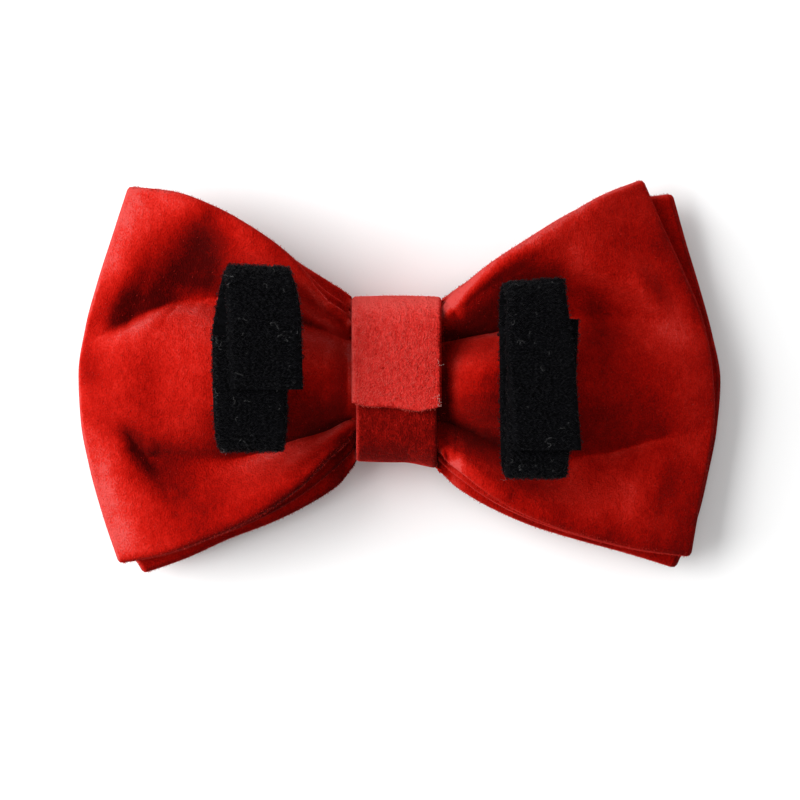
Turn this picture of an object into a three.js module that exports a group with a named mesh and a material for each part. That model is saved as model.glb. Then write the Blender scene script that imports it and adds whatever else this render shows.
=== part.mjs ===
// The back of a double-layer velvet bow tie for a dog collar, lying front down.
// Millimetres. +X right and +Y up in the photo, +Z away from the surface it lies on.
import * as THREE from 'three';

// Whole article
const LIFT = 10.07;           // height of the bow's mid plane over the surface
const CLOTH_GAP = 0.3;        // clear space kept between pieces of cloth

// Centre band
const BAND_X = -0.45;         // middle of the band across the bow
const BAND_Y = -1.6;          // middle of the band up the bow
const BAND_WIDTH = 16.7;
const BAND_TAIL_WIDTH = 15.0; // the band's under end is cut a little narrower
const BAND_WALL = 1.2;
const BAND_HALF_HEIGHT = 14.35;
const BAND_HALF_DEPTH = 7.75;
const BAND_CORNER = 4.8;
const BAND_CROWN = 0.35;      // the band's middle stands this much over its edges

// Bow cloth
const WALL_AT_BAND = 1.35;    // doubled velvet squeezed by the band
const WALL_IN_WING = 1.8;
const FOLD_REACH = 3.2;       // how far the outer fold of a wing bulges past its plies
const RIDGE_POWER = 1.4;      // over 1, the middle ridge is broad with steep sides
const FRONT_PLEAT_SHARE = 0.7; // pleats of the ply that lies on the surface, of the back's
const INNER_PLY_SHOWS = 0.45; // how far the back layer's inner ply shows beyond its outer one

// Collar straps
const TAPE_WALL = 1.4;
const COLLAR_GAP = 5.2;       // clear height inside a strap for the collar
const STRAP_BASE = 12.0;      // underside of a strap over the bow's mid plane

const RED = new THREE.MeshStandardMaterial({ color: 0xb5120c, roughness: 0.9, metalness: 0 });
const LIGHT_RED = new THREE.MeshStandardMaterial({ color: 0xd2302c, roughness: 0.9, metalness: 0 });
const BLACK = new THREE.MeshStandardMaterial({ color: 0x0b0b0d, roughness: 0.95, metalness: 0 });

// Top and bottom edges of each wing, from the band (reach 0) to the outer fold (reach 1)
const BACK_LEFT_EDGE = [
  { reach: 0.00, top: 10.3, bottom: -11.5 },
  { reach: 0.03, top: 12.0, bottom: -13.0 },
  { reach: 0.10, top: 14.9, bottom: -16.1 },
  { reach: 0.25, top: 21.3, bottom: -21.4 },
  { reach: 0.40, top: 25.9, bottom: -25.9 },
  { reach: 0.60, top: 30.7, bottom: -30.1 },
  { reach: 0.80, top: 34.0, bottom: -33.1 },
  { reach: 1.00, top: 34.9, bottom: -35.1 },
];
const BACK_RIGHT_EDGE = [
  { reach: 0.00, top: 10.4, bottom: -12.2 },
  { reach: 0.03, top: 13.2, bottom: -14.4 },
  { reach: 0.10, top: 16.2, bottom: -18.2 },
  { reach: 0.25, top: 20.9, bottom: -23.5 },
  { reach: 0.40, top: 24.6, bottom: -27.0 },
  { reach: 0.60, top: 29.3, bottom: -30.2 },
  { reach: 0.80, top: 33.4, bottom: -32.7 },
  { reach: 1.00, top: 36.6, bottom: -34.7 },
];
const FRONT_LEFT_EDGE = [
  { reach: 0.00, top: 10.9, bottom: -13.9 },
  { reach: 0.015, top: 14.6, bottom: -17.2 },
  { reach: 0.03, top: 15.5, bottom: -18.6 },
  { reach: 0.10, top: 17.3, bottom: -21.2 },
  { reach: 0.25, top: 20.7, bottom: -24.5 },
  { reach: 0.40, top: 24.7, bottom: -27.8 },
  { reach: 0.60, top: 29.4, bottom: -30.8 },
  { reach: 0.80, top: 32.4, bottom: -33.6 },
  { reach: 1.00, top: 33.3, bottom: -36.4 },
];
const FRONT_RIGHT_EDGE = [
  { reach: 0.00, top: 10.9, bottom: -13.9 },
  { reach: 0.015, top: 14.4, bottom: -17.8 },
  { reach: 0.03, top: 15.2, bottom: -18.8 },
  { reach: 0.10, top: 17.3, bottom: -21.3 },
  { reach: 0.25, top: 21.3, bottom: -25.2 },
  { reach: 0.40, top: 25.1, bottom: -28.2 },
  { reach: 0.60, top: 29.9, bottom: -31.0 },
  { reach: 0.80, top: 32.7, bottom: -33.2 },
  { reach: 1.00, top: 33.5, bottom: -35.4 },
];

// Distance of each outer fold from the article's middle, from its bottom end (-1) to its top (1)
const FOLD_LINE = [
  { across: -1.00, backLeft: 52.3, backRight: 54.3, frontLeft: 48.5, frontRight: 51.5 },
  { across: -0.75, backLeft: 55.3, backRight: 55.9, frontLeft: 53.6, frontRight: 55.6 },
  { across: -0.50, backLeft: 58.1, backRight: 57.9, frontLeft: 56.9, frontRight: 58.0 },
  { across: -0.25, backLeft: 59.8, backRight: 59.2, frontLeft: 58.4, frontRight: 59.7 },
  { across: 0.00, backLeft: 59.8, backRight: 58.7, frontLeft: 58.3, frontRight: 60.0 },
  { across: 0.25, backLeft: 58.6, backRight: 57.1, frontLeft: 56.7, frontRight: 58.4 },
  { across: 0.50, backLeft: 56.6, backRight: 53.7, frontLeft: 54.0, frontRight: 56.2 },
  { across: 0.75, backLeft: 54.3, backRight: 49.7, frontLeft: 51.0, frontRight: 53.6 },
  { across: 1.00, backLeft: 50.4, backRight: 46.0, frontLeft: 47.0, frontRight: 51.0 },
];

// Pleats: their half height, where the two valleys lie in it (left and right wing, upper and
// lower), how high the rolled edges stand, and the depth of the pleats in outer and inner plies
const PLEATS = [
  { out: 0, half: 12.4, upL: 0.66, lowL: 0.56, upR: 0.62, lowR: 0.56, edge: 0.3, outer: 1.8, inner: 1.7 },
  { out: 9, half: 12.6, upL: 0.66, lowL: 0.56, upR: 0.62, lowR: 0.56, edge: 0.3, outer: 2.0, inner: 1.7 },
  { out: 13, half: 16.6, upL: 0.60, lowL: 0.55, upR: 0.53, lowR: 0.54, edge: 0.7, outer: 3.7, inner: 2.0 },
  { out: 19, half: 21.4, upL: 0.56, lowL: 0.53, upR: 0.45, lowR: 0.55, edge: 0.8, outer: 4.4, inner: 1.9 },
  { out: 26, half: 26.3, upL: 0.52, lowL: 0.54, upR: 0.41, lowR: 0.58, edge: 0.7, outer: 4.4, inner: 1.5 },
  { out: 35, half: 30.8, upL: 0.46, lowL: 0.52, upR: 0.38, lowR: 0.50, edge: 0.5, outer: 3.3, inner: 1.0 },
  { out: 44, half: 34.0, upL: 0.38, lowL: 0.46, upR: 0.34, lowR: 0.40, edge: 0.2, outer: 2.0, inner: 0.6 },
  { out: 60, half: 35.4, upL: 0.24, lowL: 0.34, upR: 0.30, lowR: 0.30, edge: 0.0, outer: 0.5, inner: 0.3 },
];

// Heights over the bow's mid plane of the back layer's outer ply, the front layer's outer ply
// and both inner plies, how far outer plies droop to their open edges, and how far wings sag
const PLIES = [
  { out: 0, back: 4.2, front: 4.2, inner: 1.40, droop: 0.0, sag: 0.0 },
  { out: 9, back: 4.2, front: 4.2, inner: 1.40, droop: 0.0, sag: 0.0 },
  { out: 13, back: 5.6, front: 5.1, inner: 1.45, droop: 0.0, sag: 0.0 },
  { out: 19, back: 6.3, front: 5.5, inner: 1.4, droop: 0.2, sag: 0.1 },
  { out: 26, back: 6.6, front: 5.7, inner: 1.35, droop: 0.6, sag: 0.4 },
  { out: 35, back: 6.5, front: 5.5, inner: 1.3, droop: 1.1, sag: 1.0 },
  { out: 44, back: 5.8, front: 5.1, inner: 1.25, droop: 1.2, sag: 1.8 },
  { out: 60, back: 4.6, front: 4.2, inner: 1.2, droop: 0.5, sag: 2.8 },
];

// Centre line of each strap: the under end, the two turns, the outer end
const LEFT_STRAP = { width: 13.4, top: 20.0, bottom: -14.0, underEnd: 7.0, outerEnd: -2.7,
  underX: -27.9, bottomX: -27.4, topX: -25.7, outerX: -24.4 };
const RIGHT_STRAP = { width: 12.4, top: 17.4, bottom: -18.9, underEnd: 10.2, outerEnd: -13.8,
  underX: 26.7, bottomX: 24.9, topX: 24.6, outerX: 27.1 };

function clamp(value, low, high) {
  return Math.min(high, Math.max(low, value));
}

function smooth(value) {
  const t = clamp(value, 0, 1);
  return t * t * (3 - 2 * t);
}

// Monotone cubic through one column of a table
function lookUp(table, key, column, at) {
  const last = table.length - 1;
  const x = clamp(at, table[0][key], table[last][key]);
  let i = 0;
  while (i < last - 1 && x > table[i + 1][key]) i += 1;
  const slope = (k) => (table[k + 1][column] - table[k][column]) / (table[k + 1][key] - table[k][key]);
  const tangent = (k) => {
    if (k === 0) return slope(0);
    if (k === last) return slope(last - 1);
    const before = slope(k - 1);
    const after = slope(k);
    return before * after <= 0 ? 0 : (2 * before * after) / (before + after);
  };
  const run = table[i + 1][key] - table[i][key];
  const t = (x - table[i][key]) / run;
  const rise = table[i + 1][column] - table[i][column];
  const curve = t * t * (3 - 2 * t);
  return table[i][column] + rise * curve
    + run * t * (1 - t) * ((1 - t) * tangent(i) - t * tangent(i + 1));
}

// Pleat profile over the bow: 1 on the middle ridge, -1 in the valleys
function pleat(x, y) {
  const out = Math.abs(x - BAND_X);
  const centre = lookUp([{ out: 0, y: -1.6 }, { out: 9, y: -1.7 }, { out: 26, y: -0.6 }, { out: 44, y: 0 }],
    'out', 'y', out);
  const q = (y - centre) / lookUp(PLEATS, 'out', 'half', out);
  const column = (y > centre ? 'up' : 'low') + (x < BAND_X ? 'L' : 'R');
  const valley = lookUp(PLEATS, 'out', column, out);
  const edge = lookUp(PLEATS, 'out', 'edge', out);
  const from = Math.abs(q);
  if (from < valley) return Math.cos(Math.PI * (from / valley) ** RIDGE_POWER);
  const crest = 0.93;
  if (from < crest) {
    const t = (from - valley) / (crest - valley);
    const crease = 0.8 * (1 - smooth((out - 14) / 26));
    const rise = (1 - crease) * (1 - Math.cos(Math.PI * t)) / 2 + crease * Math.sin((Math.PI * t) / 2);
    return -1 + (1 + edge) * rise;
  }
  return edge - 3.5 * (from - crest) ** 2;
}

// Height of a ply: layer 1 is the back bow, -1 the front bow; inner plies face each other
function plyHeight(layer, inner, x, y) {
  const out = Math.abs(x - BAND_X);
  const depth = lookUp(PLEATS, 'out', inner ? 'inner' : 'outer', out);
  const outerPly = layer > 0 ? 'back' : 'front';
  const height = lookUp(PLIES, 'out', inner ? 'inner' : outerPly, out);
  const edge = Math.abs(y) / lookUp(PLEATS, 'out', 'half', out);
  const droop = inner ? 0 : lookUp(PLIES, 'out', 'droop', out) * edge ** 4;
  const share = layer < 0 && !inner ? FRONT_PLEAT_SHARE : 1;
  return layer * (height - droop) + share * depth * pleat(x, y) - lookUp(PLIES, 'out', 'sag', out);
}

const WING = {
  back: { 1: { edge: BACK_RIGHT_EDGE, fold: 'backRight' }, '-1': { edge: BACK_LEFT_EDGE, fold: 'backLeft' } },
  front: { 1: { edge: FRONT_RIGHT_EDGE, fold: 'frontRight' }, '-1': { edge: FRONT_LEFT_EDGE, fold: 'frontLeft' } },
};

// Point of a bow layer's mid surface. side -1 or 1; reach 0 at the band, 1 at the start of the
// outer fold; turn 0 on the outer ply, pi on the inner one; across -1 at the bottom, 1 at the top
function bowPoint(name, side, reach, turn, across) {
  const layer = name === 'back' ? 1 : -1;
  const wing = WING[name][side];
  const start = BAND_X + side * (BAND_WIDTH / 2 + CLOTH_GAP);
  const foldLine = side * lookUp(FOLD_LINE, 'across', wing.fold, across);
  const end = foldLine - side * (FOLD_REACH + WALL_IN_WING / 2);
  const flat = reach < 0 ? BAND_X + (start - BAND_X) * (1 + reach) : start + (end - start) * reach;
  const x = flat + side * FOLD_REACH * Math.sin(turn) * (reach < 0 ? 0 : reach);
  const share = (x - start) / (foldLine - start);
  const shows = name === 'back' ? INNER_PLY_SHOWS * smooth(-Math.cos(turn)) * smooth(3 - 3 * share) : 0;
  const edgeAt = (column) => lookUp(wing.edge, 'reach', column, share) * (1 - shows)
    + lookUp(WING.front[side].edge, 'reach', column, share) * shows;
  const top = edgeAt('top');
  const bottom = edgeAt('bottom');
  const y = (top + bottom) / 2 + (across * (top - bottom)) / 2;
  const outer = plyHeight(layer, false, x, y);
  const inner = plyHeight(layer, true, x, y);
  const middle = (outer + inner) / 2;
  return new THREE.Vector3(x, y, LIFT + middle + ((outer - inner) / 2) * Math.cos(turn));
}

// Closed body from a grid of mid-surface points, given thickness along the grid's own normals
function thicken(rows, wallAt, closed) {
  const nu = rows.length;
  const nv = rows[0].length;
  const at = (i, j) => rows[closed ? (i + nu) % nu : clamp(i, 0, nu - 1)][clamp(j, 0, nv - 1)];
  const sides = [[], []];
  for (let i = 0; i < nu; i += 1) {
    for (let j = 0; j < nv; j += 1) {
      const along = at(i + 1, j).clone().sub(at(i - 1, j));
      const across = at(i, j + 1).clone().sub(at(i, j - 1));
      const normal = along.cross(across).normalize();
      const half = wallAt(at(i, j)) / 2;
      sides[0].push(at(i, j).clone().addScaledVector(normal, half));
      sides[1].push(at(i, j).clone().addScaledVector(normal, -half));
    }
  }
  const faces = [];
  const quad = (a, b, c, d) => faces.push([a, b, c], [a, c, d]);
  const front = (i, j) => (closed ? i % nu : i) * nv + j;
  const back = (i, j) => nu * nv + front(i, j);
  const spans = closed ? nu : nu - 1;
  for (let i = 0; i < spans; i += 1) {
    for (let j = 0; j < nv - 1; j += 1) {
      quad(front(i, j), front(i + 1, j), front(i + 1, j + 1), front(i, j + 1));
      quad(back(i, j), back(i, j + 1), back(i + 1, j + 1), back(i + 1, j));
    }
    quad(front(i, 0), back(i, 0), back(i + 1, 0), front(i + 1, 0));
    quad(front(i, nv - 1), front(i + 1, nv - 1), back(i + 1, nv - 1), back(i, nv - 1));
  }
  if (!closed) {
    for (let j = 0; j < nv - 1; j += 1) {
      quad(front(0, j), front(0, j + 1), back(0, j + 1), back(0, j));
      quad(front(nu - 1, j), back(nu - 1, j), back(nu - 1, j + 1), front(nu - 1, j + 1));
    }
  }
  return toGeometry([...sides[0], ...sides[1]], faces);
}

// Geometry with outward faces, whichever way the grid ran
function toGeometry(points, faces) {
  let volume = 0;
  for (const [a, b, c] of faces) {
    volume += points[a].dot(points[b].clone().cross(points[c]));
  }
  const position = points.flatMap((p) => [p.x, p.y, p.z]);
  const index = faces.flatMap(([a, b, c]) => (volume > 0 ? [a, b, c] : [a, c, b]));
  const geometry = new THREE.BufferGeometry();
  geometry.setAttribute('position', new THREE.Float32BufferAttribute(position, 3));
  geometry.setIndex(index);
  geometry.computeVertexNormals();
  return geometry;
}

function named(name, geometry, material) {
  const mesh = new THREE.Mesh(geometry, material);
  mesh.name = name;
  return mesh;
}

// One bow layer: a flat loop of cloth, pleated at the middle, with an outer fold at each wing
function bow(name) {
  const reaches = [0, 0.03, 0.08, 0.15, 0.23, 0.32, 0.42, 0.53, 0.65, 0.77, 0.89, 1];
  const foldSteps = 6;
  const acrossSteps = 19;
  const ring = [];
  const ply = (side, turn, outward) => {
    const stations = reaches.map((reach) => [side, reach, turn]);
    return outward ? stations : stations.reverse();
  };
  const fold = (side, down) => {
    const stations = [];
    for (let k = 1; k < foldSteps; k += 1) stations.push([side, 1, (Math.PI * k) / foldSteps]);
    return down ? stations : stations.reverse();
  };
  ring.push([1, -1, 0], [1, -0.5, 0], ...ply(1, 0, true), ...fold(1, true), ...ply(1, Math.PI, false));
  ring.push([1, -0.5, Math.PI], [1, -1, Math.PI], [-1, -0.5, Math.PI], ...ply(-1, Math.PI, true));
  ring.push(...fold(-1, false), ...ply(-1, 0, false), [-1, -0.5, 0]);
  const rows = ring.map(([side, reach, turn]) => {
    const row = [];
    for (let j = 0; j < acrossSteps; j += 1) {
      row.push(bowPoint(name, side, reach, turn, -1 + (2 * j) / (acrossSteps - 1)));
    }
    return row;
  });
  const wall = (p) => {
    const out = Math.abs(p.x - BAND_X) - BAND_WIDTH / 2;
    return WALL_AT_BAND + (WALL_IN_WING - WALL_AT_BAND) * smooth(out / 10);
  };
  return named(`${name}_bow`, thicken(rows, wall, true), RED);
}

// Tape along a path of {x, y, z, half} centre points, flat across its width, with a crown
function tape(path, wall, crown, acrossSteps) {
  const last = path.length - 1;
  const rows = path.map((p, i) => {
    const a = path[Math.max(i - 1, 0)];
    const b = path[Math.min(i + 1, last)];
    const length = Math.hypot(b.y - a.y, b.z - a.z);
    const normal = { y: -(b.z - a.z) / length, z: (b.y - a.y) / length };
    const row = [];
    for (let j = 0; j <= acrossSteps; j += 1) {
      const across = -1 + (2 * j) / acrossSteps;
      const lift = crown * (across * across) * (p.outward ?? 1);
      row.push(new THREE.Vector3(
        p.x + across * p.half,
        p.y + normal.y * lift,
        LIFT + p.z + normal.z * lift,
      ));
    }
    return row;
  });
  return thicken(rows, () => wall, false);
}

// Point of a rounded rectangle at a distance round it from the middle of its top side,
// going towards -Y, with the rectangle grown by `grow`
function roundedRectangle(distance, halfY, halfZ, corner, grow) {
  const flatY = halfY - corner;
  const flatZ = halfZ - corner;
  const arc = (Math.PI / 2) * corner;
  const lengths = [flatY, arc, 2 * flatZ, arc, 2 * flatY, arc, 2 * flatZ, arc, flatY];
  const total = lengths.reduce((sum, length) => sum + length, 0);
  let rest = ((distance % total) + total) % total;
  let side = 0;
  while (rest > lengths[side]) {
    rest -= lengths[side];
    side += 1;
  }
  const r = corner + grow;
  const turn = rest / corner;
  const start = [
    () => [-rest, halfZ + grow],
    () => [-flatY - r * Math.sin(turn), flatZ + r * Math.cos(turn)],
    () => [-halfY - grow, flatZ - rest],
    () => [-flatY - r * Math.cos(turn), -flatZ - r * Math.sin(turn)],
    () => [-flatY + rest, -halfZ - grow],
    () => [flatY + r * Math.sin(turn), -flatZ - r * Math.cos(turn)],
    () => [halfY + grow, -flatZ + rest],
    () => [flatY + r * Math.cos(turn), flatZ + r * Math.sin(turn)],
    () => [flatY - rest, halfZ + grow],
  ];
  const [y, z] = start[side]();
  return { y, z, total };
}

// Centre band: starts under itself on the back, goes down, round the front and over the top,
// and ends on the back over its own start
function centreBand() {
  const steps = 56;
  const { total } = roundedRectangle(0, BAND_HALF_HEIGHT, BAND_HALF_DEPTH, BAND_CORNER, 0);
  const from = -7.5;
  const to = total + 4.9;
  const path = [];
  for (let i = 0; i <= steps; i += 1) {
    const distance = from + ((to - from) * i) / steps;
    const round = (distance - from) / total;
    const grow = (BAND_WALL + CLOTH_GAP) * smooth((round - 0.62) / 0.3);
    const p = roundedRectangle(distance, BAND_HALF_HEIGHT, BAND_HALF_DEPTH, BAND_CORNER, grow);
    const half = BAND_TAIL_WIDTH / 2 + ((BAND_WIDTH - BAND_TAIL_WIDTH) / 2) * smooth((round - 0.25) / 0.3);
    path.push({ x: BAND_X, y: BAND_Y + p.y, z: p.z, half });
  }
  return named('centre_band', tape(path, BAND_WALL, BAND_CROWN, 4), LIGHT_RED);
}

// Collar strap: a tape that starts as the under end, turns at the bottom, runs along the bow,
// turns at the top and comes down over its under end
function strap(name, s) {
  const base = STRAP_BASE + TAPE_WALL / 2;
  const under = base + TAPE_WALL + COLLAR_GAP;
  const outer = under + TAPE_WALL + CLOTH_GAP;
  const turnSteps = 8;
  const path = [];
  const add = (y, z) => path.push({ y, z, half: s.width / 2 });
  const line = (y0, y1, z, steps) => {
    for (let k = 0; k <= steps; k += 1) add(y0 + ((y1 - y0) * k) / steps, z);
  };
  const lowR = (under - base) / 2;
  const highR = (outer - base) / 2;
  const bottomY = s.bottom + lowR + TAPE_WALL / 2;
  const topY = s.top - highR - TAPE_WALL / 2;
  line(s.underEnd, bottomY, under, 4);
  for (let k = 1; k < turnSteps; k += 1) {
    const turn = (Math.PI * k) / turnSteps;
    add(bottomY - lowR * Math.sin(turn), (base + under) / 2 + lowR * Math.cos(turn));
  }
  line(bottomY, topY, base, 5);
  for (let k = 1; k < turnSteps; k += 1) {
    const turn = (Math.PI * k) / turnSteps;
    add(topY + highR * Math.sin(turn), (base + outer) / 2 - highR * Math.cos(turn));
  }
  line(topY, s.outerEnd, outer, 4);
  const sideways = [s.underX, s.bottomX, s.topX, s.outerX];
  const leg = path.length / 3;
  path.forEach((p, i) => {
    const at = Math.min(i / leg, 2.999);
    const k = Math.floor(at);
    p.x = sideways[k] + (sideways[k + 1] - sideways[k]) * (at - k);
  });
  return named(name, tape(path, TAPE_WALL, 0, 2), BLACK);
}

const group = new THREE.Group();
group.name = 'dog_collar_bow_tie';
group.add(bow('back'));
group.add(bow('front'));
group.add(centreBand());
group.add(strap('left_collar_strap', LEFT_STRAP));
group.add(strap('right_collar_strap', RIGHT_STRAP));

export default group;
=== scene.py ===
"""Looks of the velvet bow tie for a dog collar, seen from its back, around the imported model."""
import math

import bpy
import numpy as np
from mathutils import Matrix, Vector


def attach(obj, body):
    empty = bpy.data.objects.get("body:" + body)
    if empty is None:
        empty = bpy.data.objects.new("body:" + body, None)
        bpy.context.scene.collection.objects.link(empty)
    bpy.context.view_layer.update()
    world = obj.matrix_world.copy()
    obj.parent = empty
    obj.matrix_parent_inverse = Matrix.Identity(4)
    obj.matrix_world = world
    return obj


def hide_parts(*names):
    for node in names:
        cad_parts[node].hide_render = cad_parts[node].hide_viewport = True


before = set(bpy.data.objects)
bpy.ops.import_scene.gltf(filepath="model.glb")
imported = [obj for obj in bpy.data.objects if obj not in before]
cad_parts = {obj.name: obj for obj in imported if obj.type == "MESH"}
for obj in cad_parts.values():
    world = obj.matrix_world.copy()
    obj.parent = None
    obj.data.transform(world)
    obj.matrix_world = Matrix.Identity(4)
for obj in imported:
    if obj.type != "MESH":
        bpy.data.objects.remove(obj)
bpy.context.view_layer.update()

MM = 0.001
PHOTO_MM = 0.1875              # millimetres per photo pixel
PHOTO_SIDE = 800
PHOTO_ORIGIN = (399.0, 375.5)  # the photo pixel over the object's origin
SCALE_HEIGHT = 9.07            # height over the floor, in millimetres, where that scale holds

# Sizes in millimetres, the same as the solids' where they have them, apart from the band's: it lies
# 0.2 further up here, is 0.1 shorter at each end and has less of a crown
LIFT = 10.07                   # height of the bow's mid plane over the floor
CLOTH_GAP = 0.3
TOUCH_GAP = 0.05               # between the band and the cloth that comes out of it
BAND_X = -0.45
BAND_Y = -1.4
BAND_WIDTH = 16.7
BAND_TAIL_WIDTH = 15.0         # the band's under end is cut a little narrower
BAND_WALL = 1.2
BAND_HALF_HEIGHT = 14.25
BAND_HALF_DEPTH = 7.75
BAND_CORNER = 4.8
BAND_CROWN = 0.2
BAND_START = -7.5              # where the band begins, round its loop from the middle of its top side
BAND_END = 4.9                 # where it ends, a turn later
BAND_LOW_CORNER = 1.4          # the band is pulled down at its lower right
BAND_LOW_BELOW = 5.0           # below this far under the band's middle
BAND_LOW_RIGHT = 1.0           # and right of this far beside it
BAND_LOW_OVER = 8.0            # and more and more over this length
WALL_AT_BAND = 1.35            # doubled velvet squeezed by the band
WALL_IN_WING = 1.8
WALL_SWELLS_OVER = 10.0
FOLD_REACH = 3.2               # how far the outer fold of a wing bulges past its plies
RIM_REACH = 9.0                # the outer ply bends down to the fold from this far in
RIM_DROP = 1.6
FOLDS_FADE = 5.0               # small folds die out over this length before the outer fold
EDGE_ROUND = 0.75              # the rounded rim that a layer's open edges get
TAPE_WALL = 1.4
COLLAR_GAP = 5.2               # clear height inside a strap for the collar
STRAP_BASE = 12.0              # underside of a strap over the bow's mid plane

# Shares and powers of the bow's form
RIDGE_POWER = 1.4              # over 1, the middle ridge is broad with steep sides
RIM_TURN_SHARE = 0.7           # how much of a thin fold's height the bend may take up
FRONT_PLEAT_SHARE = 0.7        # pleats of the ply that lies on the floor, of the back's
INNER_PLY_SHOWS = 0.45         # how far the back layer's inner ply shows beyond its outer one
INNER_PLY_FADE = 3.0           # that dies out over the last third of the wing
TAIL_SHOWS_BELOW = -0.25       # how far down the narrower under end of the band starts to show
TAIL_SHOWS_OVER = 0.4
BAND_WIDENS = (0.25, 0.3)      # share of the band where it gets wider, and over how much of it
BAND_CLIMBS = (0.62, 0.3)      # the same for where it climbs onto its own start
UNDER_BAND = (0.35, 0.1)       # the same for where its covered start ends

# Steps of the meshes
OUTER_PLY_STEPS = {"back": 132, "front": 90}
INNER_PLY_STEPS = 36
REACHES_IN_BAND = [-1.0, -0.75, -0.5, -0.25]
STEP_CROWDING = 1.3            # over 1, a wing's steps are closer together near the band
FOLD_STEPS = 16
BOW_ACROSS_STEPS = 110
BAND_STEPS = 260
BAND_ACROSS_STEPS = 44
TAPE_STEP = 0.25
TAPE_ACROSS_STEPS = 30
FIBRE_SIDES = 3
RIM = 0.99                     # nearly a whole step, so that it stays in the last cell of a grid

# Top and bottom edges of each wing: reach from the band to the outer fold, top, bottom
WING_EDGES = {
    "back_left": [(0.00, 9.9, -10.4), (0.005, 10.6, -11.0), (0.12, 14.4, -16.1), (0.21, 19.2, -20.0),
                  (0.27, 22.1, -22.1), (0.40, 26.3, -25.9), (0.60, 31.2, -30.1), (0.80, 34.3, -33.3),
                  (1.00, 35.4, -35.2)],
    "back_right": [(0.00, 10.4, -12.2), (0.005, 12.8, -14.0), (0.10, 16.2, -18.2), (0.25, 20.9, -23.5),
                   (0.40, 24.6, -27.0), (0.60, 29.3, -30.2), (0.80, 33.7, -32.5), (1.00, 36.8, -33.9)],
    "front_left": [(0.00, 10.9, -13.9), (0.003, 14.7, -16.2), (0.03, 15.6, -18.0), (0.10, 17.3, -21.0),
                   (0.25, 20.7, -24.6), (0.40, 24.7, -27.5), (0.60, 29.4, -30.6), (0.80, 32.4, -34.3),
                   (1.00, 33.3, -37.2)],
    "front_right": [(0.00, 10.9, -13.9), (0.003, 14.4, -17.7), (0.03, 15.2, -18.8), (0.10, 17.3, -21.5),
                    (0.25, 21.3, -25.2), (0.40, 25.1, -28.1), (0.60, 29.9, -30.9), (0.80, 32.9, -33.4),
                    (1.00, 34.1, -36.2)],
}
# Distance of each outer fold from the middle, at nine heights from the bottom to the top
FOLD_HEIGHTS = np.linspace(-1, 1, 9)
FOLD_LINES = {
    "back_left": [52.8, 55.7, 58.1, 59.7, 60.1, 58.9, 56.6, 53.8, 51.0],
    "back_right": [54.9, 56.4, 58.2, 59.3, 58.8, 57.2, 53.8, 49.8, 46.1],
    "front_left": [48.5, 53.6, 56.9, 58.4, 58.3, 56.7, 54.0, 51.0, 47.0],
    "front_right": [52.4, 56.2, 58.3, 59.9, 60.5, 59.0, 56.7, 54.1, 51.7],
}
# Pleats and plies at these distances from the band's middle
OUT = [0, 9, 13, 19, 26, 35, 44, 60]
PLEATS = {
    "half": [12.4, 12.6, 16.6, 21.4, 26.3, 30.8, 34.0, 35.4],
    "up_left": [0.66, 0.66, 0.60, 0.56, 0.52, 0.46, 0.38, 0.24],
    "low_left": [0.56, 0.56, 0.55, 0.53, 0.54, 0.52, 0.46, 0.34],
    "up_right": [0.62, 0.62, 0.53, 0.45, 0.41, 0.38, 0.34, 0.30],
    "low_right": [0.56, 0.56, 0.54, 0.55, 0.58, 0.50, 0.40, 0.30],
    "edge": [0.3, 0.3, 0.7, 0.8, 0.7, 0.5, 0.2, 0.0],
    "depth_outer": [1.8, 2.0, 3.7, 4.4, 4.4, 3.3, 2.0, 0.5],
    "depth_inner": [1.7, 1.7, 2.0, 1.9, 1.5, 1.0, 0.6, 0.3],
    "height_back": [4.2, 4.2, 5.6, 6.3, 6.6, 6.5, 5.8, 4.6],
    "height_front": [4.2, 4.2, 5.1, 5.5, 5.7, 5.5, 5.1, 4.2],
    "height_inner": [1.40, 1.40, 1.45, 1.40, 1.35, 1.30, 1.25, 1.20],
    "droop": [0.0, 0.0, 0.0, 0.2, 0.6, 1.1, 1.2, 0.5],
    "sag": [0.0, 0.0, 0.0, 0.1, 0.4, 1.0, 1.8, 2.8],
}
CREST = 0.93                   # where a rolled edge is highest, as a share of half the bow's height
EDGE_FALL = 3.5                # how fast the roll falls beyond its crest
CREASE = 0.8                   # how sharp the sides of a valley are at the band
CREASE_KEEPS = 14.0            # up to here, and less and less over the next stretch
CREASE_FADES_OVER = 26.0
RIDGE_MIDDLE = {"out": [0, 9, 26, 44], "y": [-1.6, -1.7, -0.6, 0]}  # the middle ridge's way outwards

# Straps, in millimetres: sideways is (run of the tape, x); pinch and tilt are at its turn at the top,
# low_pinch is at its turn at the bottom
STRAPS = {
    "left_collar_strap": dict(
        width=13.4, top=20.0, bottom=-14.0, under_end=7.0, outer_end=-2.7,
        pinch=0.9, tilt=-0.25, low_pinch=0.75,
        sideways=[(0, -27.5), (1, -27.1), (1.65, -27.7), (1.85, -26.8), (2.1, -25.9), (2.5, -24.6),
                  (3, -24.2)],
    ),
    "right_collar_strap": dict(
        width=12.4, top=17.4, bottom=-18.9, under_end=10.2, outer_end=-13.8,
        pinch=0.8, tilt=0.6, low_pinch=0.55,
        sideways=[(0, 26.7), (1, 24.9), (2, 24.6), (3, 27.1)],
    ),
}
TAPE_RUNS = 3                  # under, inner and outer
TOP_TURN = 2.15                # in runs from the tape's under end
LOW_TURN = 0.8
TURN_SPREAD = 0.18

# How far the outer end of the band wanders from a straight line, from its left to its right
BAND_END_WAVE = [(-8.4, 1.1), (-5.0, 0.5), (-1.3, 0.5), (0.4, 0.1), (3.8, -0.35), (6.0, 0.1), (7.7, 0.4)]
BAND_END_WAVE_REACH = 5.0

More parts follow.
